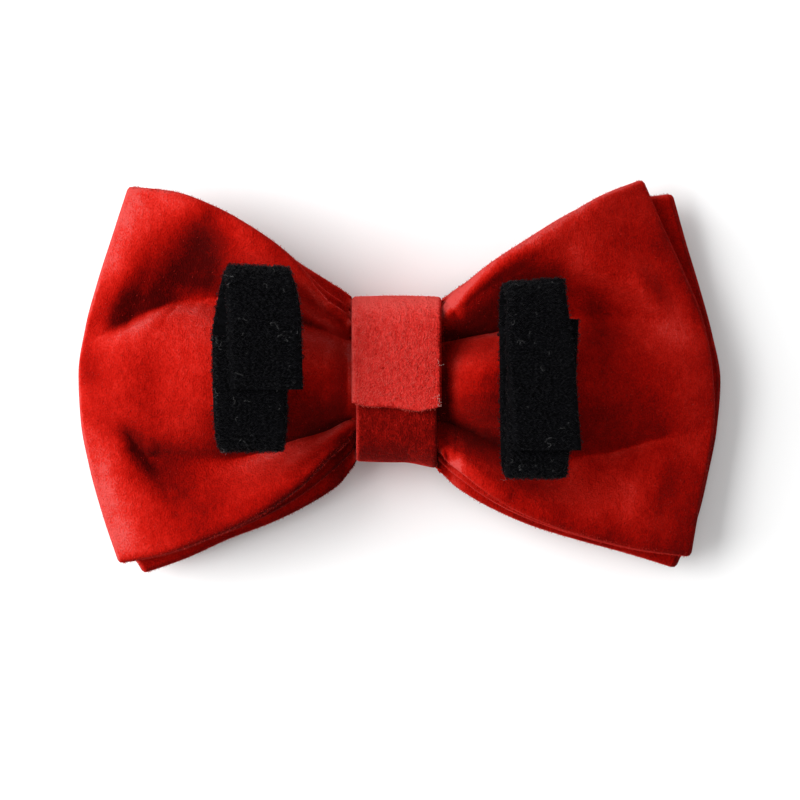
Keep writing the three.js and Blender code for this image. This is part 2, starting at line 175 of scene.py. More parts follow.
# Folds of the back layer's outer ply that the pleats leave out, in chains of
# (x, y, reach to the left, reach to the right of the way they run, height), all in millimetres
FOLDS = {
    "left_upper_groove": [
        (-55.0, 8.4, 4.0, 1.4, -0.6), (-50.5, 10.0, 6.0, 1.8, -2.0), (-46.1, 12.1, 8.0, 1.8, -1.9),
        (-41.4, 13.7, 9.0, 2.0, -2.3), (-36.8, 14.0, 9.0, 2.2, -2.0), (-32.5, 12.0, 6.0, 2.5, -0.8),
    ],
    "left_upper_dent": [
        (-34.5, 29.5, 3.0, 4.0, -0.5), (-37.5, 23.5, 4.0, 5.0, -1.4), (-41.5, 17.5, 4.0, 4.0, -0.8),
    ],
    "left_plateau_brow": [
        (-51.0, 7.0, 1.5, 4.0, 0.4), (-43.0, 10.5, 1.5, 4.0, 0.8), (-35.0, 10.5, 1.5, 4.0, 0.6),
    ],
    "left_top_roll": [
        (-44.0, 33.0, 2.5, 3.0, 0.3), (-36.0, 30.6, 2.5, 3.0, 0.8), (-27.9, 25.6, 2.5, 3.0, 0.8),
        (-19.5, 19.5, 1.5, 2.0, 0.3),
    ],
    "left_lower_streak": [
        (-50.6, -9.8, 1.5, 1.5, -0.3), (-48.6, -13.6, 2.4, 1.6, -1.4), (-45.0, -18.5, 4.0, 2.0, -1.3),
        (-40.5, -22.0, 5.0, 3.0, -0.5),
    ],
    "left_lower_dent": [
        (-44.0, -14.5, 2.0, 5.0, -0.9), (-35.0, -15.5, 2.0, 5.0, -1.0), (-26.0, -14.8, 2.0, 3.0, -0.8),
    ],
    "left_triangle": [
        (-20.0, 11.2, 0.9, 0.5, -1.2), (-17.4, 9.7, 1.0, 0.5, -1.3), (-15.5, 9.0, 0.9, 0.5, -0.4),
        (-9.5, 7.2, 0.9, 0.6, -0.4),
    ],
    "left_gather_high": [
        (-17.2, 17.6, 0.6, 0.6, 0.2), (-13.0, 12.8, 0.6, 0.6, 0.8), (-9.0, 9.4, 0.6, 0.6, 0.7),
    ],
    "left_gather_low": [
        (-19.0, 15.0, 0.7, 0.7, 0.1), (-14.0, 10.8, 0.7, 0.7, 0.5), (-9.0, 7.8, 0.6, 0.6, 0.5),
    ],
    "right_gather_high": [
        (9.0, 11.0, 0.6, 0.6, 0.4), (13.0, 15.2, 0.7, 0.7, 0.3), (18.0, 19.5, 0.7, 0.7, 0.1),
    ],
    "right_gather_low": [
        (8.5, -13.0, 0.6, 0.6, 0.5), (13.0, -17.0, 0.7, 0.7, 0.5), (20.0, -22.0, 0.7, 0.7, 0.3),
    ],
    "left_gather_bottom": [
        (-8.6, -9.5, 0.7, 0.7, 0.5), (-15.2, -14.2, 0.9, 0.9, 0.5), (-21.0, -18.5, 0.9, 0.9, 0.2),
    ],
    "left_low_valley": [
        (-21.4, -12.8, 1.2, 0.7, -0.5), (-15.9, -11.4, 1.2, 0.6, -0.8), (-13.0, -10.3, 1.0, 0.6, -0.8),
        (-9.0, -8.2, 0.9, 0.5, -0.6),
    ],
    "right_upper_valley": [
        (7.5, 6.3, 1.8, 0.6, -1.0), (13.3, 6.9, 2.4, 0.6, -1.9), (18.4, 7.6, 3.0, 0.7, -1.9),
        (23.0, 9.0, 3.0, 1.0, -0.8),
    ],
    "right_roll_brow": [
        (9.0, 11.6, 1.2, 1.2, 0.7), (14.0, 16.4, 1.5, 1.0, 0.9), (19.0, 20.2, 1.8, 1.2, 0.9),
        (28.0, 26.0, 2.0, 2.0, 0.5), (38.0, 31.5, 2.0, 2.0, 0.3),
    ],
    "right_diagonal": [
        (30.5, 23.0, 4.0, 3.5, 0.4), (39.5, 19.2, 4.0, 3.5, 1.7), (49.2, 15.2, 4.0, 3.5, 2.3),
        (55.5, 11.0, 3.0, 3.5, 1.4),
    ],
    "right_wedge": [
        (33.0, -14.9, 5.0, 2.0, -1.0), (39.6, -14.4, 5.0, 1.6, -1.5), (45.5, -12.8, 3.0, 1.2, -1.0),
        (49.6, -11.4, 1.5, 1.0, -0.3),
    ],
    "right_low_valley": [
        (7.6, -8.4, 0.6, 1.4, -0.9), (14.3, -10.6, 0.7, 2.0, -2.1), (19.1, -13.4, 0.8, 2.8, -2.1),
        (24.0, -17.5, 1.2, 3.0, -0.8),
    ],
    "right_ridge_nose": [
        (10.5, -8.0, 2.5, 3.5, -0.9), (10.5, -1.0, 2.5, 3.5, -1.7), (10.5, 4.0, 2.5, 3.5, -0.9),
    ],
    "right_roll_end": [(8.6, 12.2, 0.8, 0.8, 1.2), (9.8, 11.0, 1.0, 1.0, 0.8)],
    "right_low_roll_end": [(8.6, -14.6, 0.8, 0.8, 1.2), (9.8, -14.6, 1.0, 1.0, 0.6)],
    "right_lower_puff": [
        (30.0, -26.0, 4.0, 4.0, 0.6), (44.0, -25.0, 6.0, 5.0, 1.0), (50.0, -18.0, 5.0, 5.0, 0.6),
    ],
}
# Painted shade and light on the back layer's pile, with some of its nap: a positive amount paints it
# lighter, a negative one darker, as in its dents, creases, rims and the shade beside the straps and band;
# the same columns, but for an amount in place of the height
PAINTED_SHADE_AND_NAP = {
    "left_upper_dent": [
        (-54.0, 9.0, 3.0, 1.0, -0.4), (-50.5, 10.3, 6.0, 1.2, -0.6), (-45.5, 13.0, 5.0, 1.2, -0.5),
        (-40.0, 15.0, 6.0, 1.5, -0.45), (-37.0, 19.0, 5.0, 4.0, -0.65), (-35.6, 25.5, 4.5, 4.5, -0.65),
        (-34.0, 31.0, 4.0, 4.0, -0.2),
    ],
    "left_middle": [(-41.0, -11.0, 5.0, 5.0, 0.18), (-30.0, -12.0, 6.0, 5.0, 0.0)],
    "left_streak": [
        (-50.8, -10.5, 1.5, 1.5, -0.2), (-48.2, -14.2, 2.5, 1.8, -0.4), (-44.0, -19.0, 4.0, 2.0, -0.25),
    ],
    "left_bottom": [
        (-42.0, -18.0, 6.0, 6.0, -0.25), (-38.0, -25.0, 6.0, 6.0, -0.48),
        (-26.0, -21.0, 5.0, 5.0, -0.3),
    ],
    "left_near_band": [
        (-19.0, 17.0, 3.0, 5.0, 0.15), (-13.0, 11.0, 3.0, 5.0, 0.25), (-8.0, 8.0, 3.0, 4.0, 0.25),
    ],
    "left_ridge_end": [
        (-18.0, 2.0, 5.0, 5.0, 0.15), (-12.0, 1.0, 6.0, 5.0, 0.3), (-9.0, -3.0, 6.0, 5.0, 0.3),
    ],
    "left_near_roll": [
        (-18.0, 18.5, 1.0, 1.4, 0.2), (-13.5, 13.3, 0.7, 0.8, 0.3), (-9.0, 9.8, 0.6, 0.7, 0.25),
    ],
    "left_roll_shade": [
        (-18.0, 15.2, 1.0, 1.0, -0.1), (-13.2, 11.5, 0.5, 0.6, -0.2), (-9.0, 8.7, 0.4, 0.5, -0.2),
    ],
    "left_triangle": [
        (-19.8, 11.2, 1.0, 0.6, -0.5), (-17.0, 9.6, 1.1, 0.6, -0.6), (-13.0, 8.4, 0.8, 0.5, -0.2),
        (-9.0, 6.9, 0.6, 0.5, -0.3),
    ],
    "left_low_valley": [
        (-21.4, -12.8, 1.0, 0.6, -0.2), (-15.9, -11.5, 1.0, 0.5, -0.25), (-9.0, -8.3, 0.8, 0.5, -0.25),
    ],
    "left_low_roll": [
        (-22.0, -18.0, 4.0, 4.0, -0.25), (-16.0, -14.5, 3.0, 4.0, -0.35), (-9.0, -10.5, 2.0, 3.5, -0.3),
    ],
    "left_rim": [
        (-57.5, 9.0, 3.0, 3.0, -0.15), (-58.5, 3.0, 3.0, 3.0, -0.4), (-58.5, -5.0, 3.0, 3.0, -0.1),
    ],
    "left_top_rim": [
        (-56.0, 16.0, 2.0, 2.0, 0.05), (-52.0, 26.0, 3.0, 3.0, 0.08), (-49.5, 33.0, 3.0, 3.0, 0.1),
    ],
    "left_low_rim": [
        (-57.0, -12.0, 2.5, 2.5, 0.1), (-54.5, -22.0, 4.0, 4.0, 0.2), (-51.5, -31.0, 4.0, 4.0, 0.22),
    ],
    "left_plateau": [(-52.0, 2.0, 5.0, 8.0, -0.15), (-38.0, 5.0, 4.0, 8.0, 0.0)],
    "right_ridge": [
        (8.0, -2.0, 7.0, 7.0, -0.4), (16.0, -2.0, 7.0, 7.0, -0.35), (20.0, -2.0, 7.0, 7.0, -0.2),
    ],
    "right_ridge_top": [
        (10.0, 5.0, 3.0, 2.5, -0.3), (17.0, 5.5, 3.0, 2.5, -0.35), (24.0, 6.5, 3.0, 3.0, -0.25),
    ],
    "right_low_valley": [(8.0, -9.0, 1.5, 3.0, -0.4), (18.0, -12.5, 1.5, 3.0, -0.5)],
    "right_low_roll": [(9.0, -13.0, 2.0, 2.0, -0.35), (14.0, -15.0, 2.0, 1.5, -0.15)],
    "right_shade": [
        (36.5, 14.0, 3.0, 3.0, -0.2), (37.0, 8.0, 5.0, 4.0, -0.35), (37.0, 1.0, 5.0, 5.0, 0.0),
    ],
    "right_middle": [(40.0, -1.0, 6.0, 6.0, 0.14), (42.0, -10.0, 5.0, 6.0, 0.2)],
    "right_valley_end": [(27.0, 22.0, 2.0, 4.0, 0.1), (33.0, 22.0, 4.0, 4.0, 0.25)],
    "right_patch": [
        (33.0, 19.5, 2.5, 2.5, 0.22), (42.0, 16.0, 3.5, 3.5, 0.33), (50.5, 11.5, 4.0, 3.5, 0.32),
    ],
    "right_shoulder": [
        (43.0, 22.0, 3.0, 3.0, 0.1), (47.5, 19.7, 3.0, 3.0, 0.22), (51.5, 16.0, 2.0, 2.0, 0.1),
    ],
    "right_wedge_edge": [
        (36.0, -17.0, 2.0, 2.0, -0.1), (43.0, -14.2, 2.5, 2.0, -0.3), (49.0, -11.8, 2.0, 2.0, -0.15),
    ],
    "right_bottom": [
        (31.0, -27.0, 4.0, 4.0, 0.10), (42.0, -26.0, 5.0, 5.0, 0.25), (49.0, -27.0, 7.0, 6.0, 0.28),
    ],
    "right_top": [(26.0, 25.0, 7.0, 5.0, 0.3), (44.0, 30.0, 8.0, 7.0, 0.3)],
    "right_rim": [(55.0, 4.0, 6.0, 8.0, 0.4), (56.0, -14.0, 6.0, 6.0, 0.4)],
}
# Painted light on the front layer near the band, where the left strap's shadow falls: the same columns
FRONT_PAINTED_LIGHT = {
    "left_near_band": [
        (-25.0, 23.0, 2.0, 4.0, 0.1), (-16.0, 15.5, 3.0, 4.0, 0.38), (-9.0, 11.0, 3.0, 4.0, 0.38),
    ],
}
PAINTED_LIGHT_FROM = np.array([-0.80, 0.45, 0.0])  # painted light and shade: surfaces facing this way, towards the key light, are painted lighter, those facing away darker
NAP_MIDDLE = 0.50
PAINTED_LIGHT_STRENGTH = 0.75
# painted sheen: surfaces seen edge-on from above are painted lighter
PAINTED_EDGE_SHEEN = 0.5
BAND_NAP = 0.15
# painted shade on the band's start below its overlapping end, where it curves away from the light
UNDER_BAND_PAINTED_SHADE = -0.45

RANDOM = np.random.default_rng(7)

# Fibres, with lengths in millimetres from the shortest to the longest
PILE_ROW = 3.2                 # rows of loops on the tapes, in steps along the tape
LOOPS_SEEN_FROM = 0.2          # upward part of the tape's normal from which all of its loops are kept
LOOPS_UNSEEN = 0.12            # share of the loops that is kept elsewhere
LOOP_SLANT = 0.6               # how far the loops stray from lying straight across the tape
LOOP_WIDTHS = (0.5, 1.1)
LOOP_HEIGHTS = (0.2, 0.6)
LOOP_RADIUS = 0.055
LINT_LIES_FROM = 0.3           # upward part of the normal from which lint lies on the cloth
LINT_LIKES_HEIGHT = 0.05       # of two plies at a spot, lint lies on the upper one
LINT_CELLS = 8                 # cells of a tape's grid in a square millimetre, roughly
LINT_STRAYS = 0.15
LINT_STEPS = (0.05, 0.24)
LINT_RADIUS = 0.022
FRAY_ROW = 0.9                 # of the band's last cell
FRAY_LENGTHS = (0.08, 0.48)
STREAKS_FROM = 0.76            # share of the band before its outer end's streaks
STREAK_LENGTHS = (0.25, 0.70)
EDGE_PILE_OFF_FOLD = 0.6
PILE_LENGTHS = (0.15, 0.40)
NOISE_SPREAD = 7.0             # a noise socket strays from a half by about a seventh

# Where more lint lies on the band and the tapes: x, y, spread, how many threads
BAND_LINT = [(7.9, -4.0, 0.8, 5), (7.7, -5.6, 0.6, 3), (7.6, 2.0, 0.8, 2)]
LEFT_LINT = [(-34.0, 17.2, 1.2, 6), (-33.6, 8.4, 1.4, 5), (-20.3, 6.9, 1.8, 8), (-34.6, -4.3, 1.0, 3),
             (-27.0, -11.5, 3.0, 6)]
RIGHT_LINT = [(20.5, 10.0, 2.0, 3), (30.0, -10.0, 2.5, 3), (22.0, -16.5, 2.0, 4), (27.0, 2.0, 3.0, 3)]


def smooth(value):
    t = np.clip(value, 0, 1)
    return t * t * (3 - 2 * t)


def along_chains(chains, x, y):
    """Sum over chains of the height at points (x, y): the strongest of each chain's own stretches."""
    total = np.zeros_like(x)
    for chain in chains.values():
        strongest = np.zeros_like(x)
        for (x0, y0, left0, right0, high0), (x1, y1, left1, right1, high1) in zip(chain, chain[1:]):
            dx, dy = x1 - x0, y1 - y0
            t = np.clip(((x - x0) * dx + (y - y0) * dy) / (dx * dx + dy * dy), 0, 1)
            off_x, off_y = x - x0 - t * dx, y - y0 - t * dy
            left, right = left0 + (left1 - left0) * t, right0 + (right1 - right0) * t
            reach = np.where(dx * off_y - dy * off_x > 0, left, right)
            height = (high0 + (high1 - high0) * t) * np.exp(-(off_x ** 2 + off_y ** 2) / reach ** 2)
            strongest = np.where(np.abs(height) > np.abs(strongest), height, strongest)
        total += strongest
    return total


def look_up(xs, ys, at):
    """Monotone cubic through the points (xs, ys)."""
    xs, ys = np.asarray(xs, float), np.asarray(ys, float)
    run, slope = np.diff(xs), np.diff(ys) / np.diff(xs)
    before, after = slope[:-1], slope[1:]
    same = before * after > 0
    inner = np.where(same, 2 * before * after / np.where(same, before + after, 1), 0)
    tangent = np.concatenate([slope[:1], inner, slope[-1:]])
    x = np.clip(at, xs[0], xs[-1])
    i = np.clip(np.searchsorted(xs, x, side="right") - 1, 0, len(xs) - 2)
    t = (x - xs[i]) / run[i]
    curve = ys[i] + (ys[i + 1] - ys[i]) * t * t * (3 - 2 * t)
    return curve + run[i] * t * (1 - t) * ((1 - t) * tangent[i] - t * tangent[i + 1])


def pleat(x, y):
    """1 on the middle ridge, -1 in the valleys, and the rolled edges beyond them."""
    out = np.abs(x - BAND_X)
    centre = look_up(RIDGE_MIDDLE["out"], RIDGE_MIDDLE["y"], out)
    q = (y - centre) / look_up(OUT, PLEATS["half"], out)
    valley = np.where(
        y > centre,
        np.where(x < BAND_X, look_up(OUT, PLEATS["up_left"], out), look_up(OUT, PLEATS["up_right"], out)),
        np.where(x < BAND_X, look_up(OUT, PLEATS["low_left"], out), look_up(OUT, PLEATS["low_right"], out)),
    )
    edge = look_up(OUT, PLEATS["edge"], out)
    from_middle = np.abs(q)
    ridge = np.cos(np.pi * np.clip(from_middle / valley, 0, 1) ** RIDGE_POWER)
    t = np.clip((from_middle - valley) / (CREST - valley), 0, 1)
    crease = CREASE * (1 - smooth((out - CREASE_KEEPS) / CREASE_FADES_OVER))
    rise = (1 - crease) * (1 - np.cos(np.pi * t)) / 2 + crease * np.sin(np.pi * t / 2)
    fall = edge - EDGE_FALL * (from_middle - CREST) ** 2
    beyond = np.where(from_middle < CREST, (1 + edge) * rise - 1, fall)
    return np.where(from_middle < valley, ridge, beyond)


def ply_height(layer, inner, x, y):
    """Height over the bow's mid plane of a layer's outer or inner ply."""
    out = np.abs(x - BAND_X)
    depth = look_up(OUT, PLEATS["depth_inner" if inner else "depth_outer"], out)
    outer_ply = "height_back" if layer > 0 else "height_front"
    height = look_up(OUT, PLEATS["height_inner" if inner else outer_ply], out)
    edge = np.abs(y) / look_up(OUT, PLEATS["half"], out)
    droop = 0 if inner else look_up(OUT, PLEATS["droop"], out) * edge ** 4
    share = FRONT_PLEAT_SHARE if layer < 0 and not inner else 1.0
    return layer * (height - droop) + share * depth * pleat(x, y) - look_up(OUT, PLEATS["sag"], out)


def bow_points(name, side, reach, turn, across):
    """Mid surface of a bow layer, as arrays of x, y and z in millimetres."""
    layer = 1 if name == "back" else -1
    wing = name + ("_right" if side > 0 else "_left")
    narrower = (BAND_WIDTH - BAND_TAIL_WIDTH) / 2 * smooth((TAIL_SHOWS_BELOW - across) / TAIL_SHOWS_OVER)
    start = BAND_X + side * (BAND_WIDTH / 2 + TOUCH_GAP - narrower)
    fold_line = side * look_up(FOLD_HEIGHTS, FOLD_LINES[wing], across)
    end = fold_line - side * (FOLD_REACH + WALL_IN_WING / 2)
    flat = np.where(reach < 0, BAND_X + (start - BAND_X) * (1 + reach), start + (end - start) * reach)
    x = flat + side * FOLD_REACH * np.sin(turn) * np.clip(reach, 0, 1)
    reaches, tops, bottoms = zip(*WING_EDGES[wing])
    share = (x - start) / (fold_line - start)
    top, bottom = look_up(reaches, tops, share), look_up(reaches, bottoms, share)
    if layer > 0:
        shows = INNER_PLY_SHOWS * smooth(-np.cos(turn)) * smooth(INNER_PLY_FADE * (1 - share))
        reaches, tops, bottoms = zip(*WING_EDGES["front" + wing[4:]])
        top = top + shows * (look_up(reaches, tops, share) - top)
        bottom = bottom + shows * (look_up(reaches, bottoms, share) - bottom)
    y = (top + bottom) / 2 + across * ((top - bottom) / 2 - EDGE_ROUND)
    outer, inner = ply_height(layer, False, x, y), ply_height(layer, True, x, y)
    to_fold = np.abs(end - flat)
    outer = outer - layer * RIM_DROP * np.clip(1 - to_fold / RIM_REACH, 0, 1) ** 2
    if layer > 0:
        outer = outer + along_chains(FOLDS, x, y) * smooth(to_fold / FOLDS_FADE)
    z = LIFT + (outer + inner) / 2 + (outer - inner) / 2 * np.cos(turn)
    carried_on = np.minimum(RIM_DROP / RIM_REACH * FOLD_REACH, RIM_TURN_SHARE * np.abs(outer - inner) / 2)
    z = z - layer * carried_on * np.sin(turn) * (1 + np.cos(turn))
    return np.stack([x, y, z], axis=-1)


def grid_normals(points, closed_u=True):
    """Unit normals of a grid of points, wrapping round in its first direction if it is closed."""
    if closed_u:
        along = np.roll(points, -1, 0) - np.roll(points, 1, 0)
    else:
        along = np.gradient(points, axis=0)
    across = np.gradient(points, axis=1)
    normal = np.cross(along, across)
    return normal / np.linalg.norm(normal, axis=-1, keepdims=True), across


def sheet_mesh(points, wall, name, closed_u=True, cap=4):
    """Closed body round a mid surface: both faces, with rounded edges along the second direction."""
    normal, across = grid_normals(points, closed_u)
    half = (wall / 2)[..., None]
    edge_out = across / np.linalg.norm(across, axis=-1, keepdims=True)
    rings = [points + normal * half]
    for k in range(1, cap):
        a = math.pi * k / cap
        rim = points[:, -1] + half[:, -1] * (math.cos(a) * normal[:, -1] + math.sin(a) * edge_out[:, -1])
        rings.append(rim[:, None])
    rings.append((points - normal * half)[:, ::-1])
    for k in range(1, cap):
        a = math.pi * k / cap
        rim = points[:, 0] - half[:, 0] * (math.cos(a) * normal[:, 0] + math.sin(a) * edge_out[:, 0])
        rings.append(rim[:, None])
    grid = np.concatenate(rings, axis=1)
    return grid_object(grid, name, closed_u)


def grid_object(grid, name, closed_u):
    """Object from a grid that is closed in its second direction; open ends get flat caps."""
    nu, nv = grid.shape[:2]
    spans = nu if closed_u else nu - 1
    i, j = np.meshgrid(np.arange(spans), np.arange(nv), indexing="ij")
    i2, j2 = (i + 1) % nu, (j + 1) % nv
    quads = np.stack([i * nv + j, i2 * nv + j, i2 * nv + j2, i * nv + j2], axis=-1).reshape(-1, 4)
    faces = quads.tolist()
    if not closed_u:
        faces.append(list(range(nv)))
        faces.append([(nu - 1) * nv + k for k in range(nv)][::-1])
    return mesh_object(name, grid.reshape(-1, 3), faces)


def mesh_object(name, points_mm, faces, smooth_faces=True):
    mesh = bpy.data.meshes.new(name)
    mesh.from_pydata((np.asarray(points_mm) * MM).tolist(), [], faces)
    if signed_volume(mesh) < 0:
        mesh.flip_normals()
    mesh.polygons.foreach_set("use_smooth", [smooth_faces] * len(mesh.polygons))
    mesh.update()
    obj = bpy.data.objects.new(name, mesh)
    bpy.context.scene.collection.objects.link(obj)
    return obj


def signed_volume(mesh):
    mesh.calc_loop_triangles()
    triangles = np.empty(len(mesh.loop_triangles) * 3, int)
    mesh.loop_triangles.foreach_get("vertices", triangles)
    points = np.empty(len(mesh.vertices) * 3)
    mesh.vertices.foreach_get("co", points)
    corners = points.reshape(-1, 3)[triangles.reshape(-1, 3)]
    return np.einsum("ij,ij->i", corners[:, 0], np.cross(corners[:, 1], corners[:, 2])).sum()


def bow_stations(outer_steps, inner_steps):
    """(side, reach, turn) of each step round a bow's loop, closer together near the band."""
    outer = REACHES_IN_BAND + (np.linspace(0, 1, outer_steps) ** STEP_CROWDING).tolist()
    inner = REACHES_IN_BAND + (np.linspace(0, 1, inner_steps) ** STEP_CROWDING).tolist()
    fold = [math.pi * k / FOLD_STEPS for k in range(1, FOLD_STEPS)]
    stations = [(1, r, 0.0) for r in outer]
    stations += [(1, 1.0, turn) for turn in fold]
    stations += [(1, r, math.pi) for r in inner[::-1]]
    stations += [(-1, r, math.pi) for r in inner[1:]]
    stations += [(-1, 1.0, turn) for turn in fold[::-1]]
    stations += [(-1, r, 0.0) for r in outer[:0:-1]]
    return np.array(stations)


def make_bow(name):
    stations = bow_stations(OUTER_PLY_STEPS[name], INNER_PLY_STEPS)
    across = np.linspace(-1, 1, BOW_ACROSS_STEPS)[None, :] * np.ones((len(stations), 1))
    side, reach, turn = (stations[:, k][:, None] * np.ones_like(across) for k in range(3))
    right = bow_points(name, 1, reach, turn, across)
    left = bow_points(name, -1, reach, turn, across)
    points = np.where(side[..., None] > 0, right, left)
    out = np.abs(points[..., 0] - BAND_X) - BAND_WIDTH / 2
    wall = WALL_AT_BAND + (WALL_IN_WING - WALL_AT_BAND) * smooth(out / WALL_SWELLS_OVER)
    piece = sheet_mesh(points, wall, name + "_velvet")
    # paints light and shade on the layer's pile by the way it faces, and the table's painted shade, light
    # and nap
    paint_shade_and_nap(piece, PAINTED_SHADE_AND_NAP if name == "back" else FRONT_PAINTED_LIGHT)
    return piece, points, wall


def paint_shade_and_nap(piece, chains, rows=None):
    """Store a tone at each point that paints light and shade on the pile: lighter where it faces the key
    light, a painted sheen where it turns edge-on, and the chains' painted shade, light and nap.
    rows adds an amount to each row of a sheet's grid."""
    mesh = piece.data
    count = len(mesh.vertices)
    points, normals = np.empty(count * 3), np.empty(count * 3)
    mesh.vertices.foreach_get("co", points)
    mesh.vertex_normals.foreach_get("vector", normals)
    points, normals = points.reshape(-1, 3) / MM, normals.reshape(-1, 3)
    # painted light and shade by the way the surface faces the key light, and a painted sheen where it turns
    # edge-on
    painted_shade_and_nap = NAP_MIDDLE + PAINTED_LIGHT_STRENGTH * normals @ PAINTED_LIGHT_FROM + PAINTED_EDGE_SHEEN * (1 - np.abs(normals[:, 2])) ** 2
    on_top = normals[:, 2] > 0
    painted_shade_and_nap = painted_shade_and_nap + np.where(on_top, along_chains(chains, points[:, 0], points[:, 1]), 0)
    if rows is not None:
        painted_shade_and_nap = painted_shade_and_nap + np.repeat(rows, count // len(rows))
    layer = mesh.attributes.new("painted_shade_and_nap", "FLOAT", "POINT")
    layer.data.foreach_set("value", np.clip(painted_shade_and_nap, 0, 1))


def rounded_rectangle(distance, half_y, half_z, corner, grow):
    """Point at a distance round a rounded rectangle from the middle of its top side, towards -Y."""
    flat_y, flat_z = half_y - corner, half_z - corner
    arc = math.pi / 2 * corner
    lengths = [flat_y, arc, 2 * flat_z, arc, 2 * flat_y, arc, 2 * flat_z, arc, flat_y]
    rest = distance % sum(lengths)
    leg = 0
    while rest > lengths[leg]:
        rest -= lengths[leg]
        leg += 1
    r, turn = corner + grow, rest / corner
    sine, cosine = math.sin(turn), math.cos(turn)
    return [
        (-rest, half_z + grow),
        (-flat_y - r * sine, flat_z + r * cosine),
        (-half_y - grow, flat_z - rest),
        (-flat_y - r * cosine, -flat_z - r * sine),
        (-flat_y + rest, -half_z - grow),
        (flat_y + r * sine, -flat_z - r * cosine),
        (half_y + grow, -flat_z + rest),
        (flat_y + r * cosine, flat_z + r * sine),
        (flat_y - rest, half_z + grow),
    ][leg]


def tape_points(path, crown, across_steps):
    """Mid surface of a tape along rows of (x, y, z, half width, tilt), bent across its width by crown."""
    path = np.asarray(path, float)
    tangent = np.gradient(path[:, 1:3], axis=0)
    tangent /= np.linalg.norm(tangent, axis=1, keepdims=True)
    normal = np.stack([-tangent[:, 1], tangent[:, 0]], axis=1)
    across = np.linspace(-1, 1, across_steps)
    lift = crown * across ** 2
    x = path[:, 0, None] + across * path[:, 3, None]
    y = path[:, 1, None] + normal[:, 0, None] * lift + path[:, 4, None] * across
    z = LIFT + path[:, 2, None] + normal[:, 1, None] * lift
    return np.stack([x, y, z], axis=-1)


def make_band():
    total = 2 * math.pi * BAND_CORNER + 4 * (BAND_HALF_HEIGHT + BAND_HALF_DEPTH - 2 * BAND_CORNER)
    end = total + BAND_END
    distances = np.linspace(BAND_START, end, BAND_STEPS)
    turned = (distances - BAND_START) / total
    path = []
    for distance, share in zip(distances, turned):
        grow = (BAND_WALL + CLOTH_GAP) * smooth((share - BAND_CLIMBS[0]) / BAND_CLIMBS[1])
        y, z = rounded_rectangle(distance, BAND_HALF_HEIGHT, BAND_HALF_DEPTH, BAND_CORNER, grow)
        wider = smooth((share - BAND_WIDENS[0]) / BAND_WIDENS[1])
        width = BAND_TAIL_WIDTH + (BAND_WIDTH - BAND_TAIL_WIDTH) * wider
        path.append((BAND_X, BAND_Y + y, z, (width - BAND_WALL) / 2, 0))
    points = tape_points(path, BAND_CROWN, BAND_ACROSS_STEPS)
    at_end = smooth(1 - (end - distances) / BAND_END_WAVE_REACH)[:, None]
    points[..., 1] += at_end * look_up(*zip(*BAND_END_WAVE), points[..., 0])
    below = smooth((BAND_Y - BAND_LOW_BELOW - points[..., 1]) / BAND_LOW_OVER)
    to_the_right = smooth((points[..., 0] - BAND_X - BAND_LOW_RIGHT) / BAND_LOW_OVER)
    points[..., 1] -= BAND_LOW_CORNER * below * to_the_right
    wall = np.full(points.shape[:2], BAND_WALL)
    piece = sheet_mesh(points, wall, "band_velvet_wrap", closed_u=False)
    # paints the band's light and shade by the way it faces, lifts its tone all over, and paints shade on
    # its start below the overlap
    paint_shade_and_nap(piece, {}, BAND_NAP + UNDER_BAND_PAINTED_SHADE * smooth((UNDER_BAND[0] - turned) / UNDER_BAND[1]))
    return piece, points, wall


def strap_path(s):
    """Rows of (x, y, z, half width, tilt) along a strap, from its under end to its outer end."""
    base = STRAP_BASE + TAPE_WALL / 2
    under = base + TAPE_WALL + COLLAR_GAP
    outer = under + TAPE_WALL + CLOTH_GAP
    low_r, high_r = (under - base) / 2, (outer - base) / 2
    bottom_y = s["bottom"] + low_r + TAPE_WALL / 2
    top_y = s["top"] - high_r - TAPE_WALL / 2
    legs = []

    def line(y0, y1, z):
        steps = max(2, round(abs(y1 - y0) / TAPE_STEP))
        legs.append([(y0 + (y1 - y0) * k / steps, z) for k in range(steps)])

    def turn(y, z, r, way):
        steps = round(math.pi * r / TAPE_STEP)
        angles = [math.pi * k / steps for k in range(steps)]
        legs.append([(y - way * r * math.sin(a), z + way * r * math.cos(a)) for a in angles])

    line(s["under_end"], bottom_y, under)
    turn(bottom_y, (base + under) / 2, low_r, 1)
    line(bottom_y, top_y, base)
    turn(top_y, (base + outer) / 2, high_r, -1)
    line(top_y, s["outer_end"], outer)
    rows = [point for leg in legs for point in leg] + [(s["outer_end"], outer)]
    run = np.linspace(0, TAPE_RUNS, len(rows))
    sideways = np.interp(run, *zip(*s["sideways"]))
    at_top, at_bottom = (np.exp(-((run - place) / TURN_SPREAD) ** 2) for place in (TOP_TURN, LOW_TURN))
    half = (s["width"] - TAPE_WALL) / 2 - s["pinch"] * at_top - s["low_pinch"] * at_bottom
    return np.column_stack([sideways, np.array(rows), half, s["tilt"] * at_top])


def make_strap(name):
    points = tape_points(strap_path(STRAPS[name]), 0, TAPE_ACROSS_STEPS)
    wall = np.full(points.shape[:2], TAPE_WALL)
    piece = sheet_mesh(points, wall, name.replace("collar_strap", "tape"), closed_u=False)
    return piece, points, wall


def unit(vectors):
    return vectors / np.linalg.norm(vectors, axis=-1, keepdims=True)


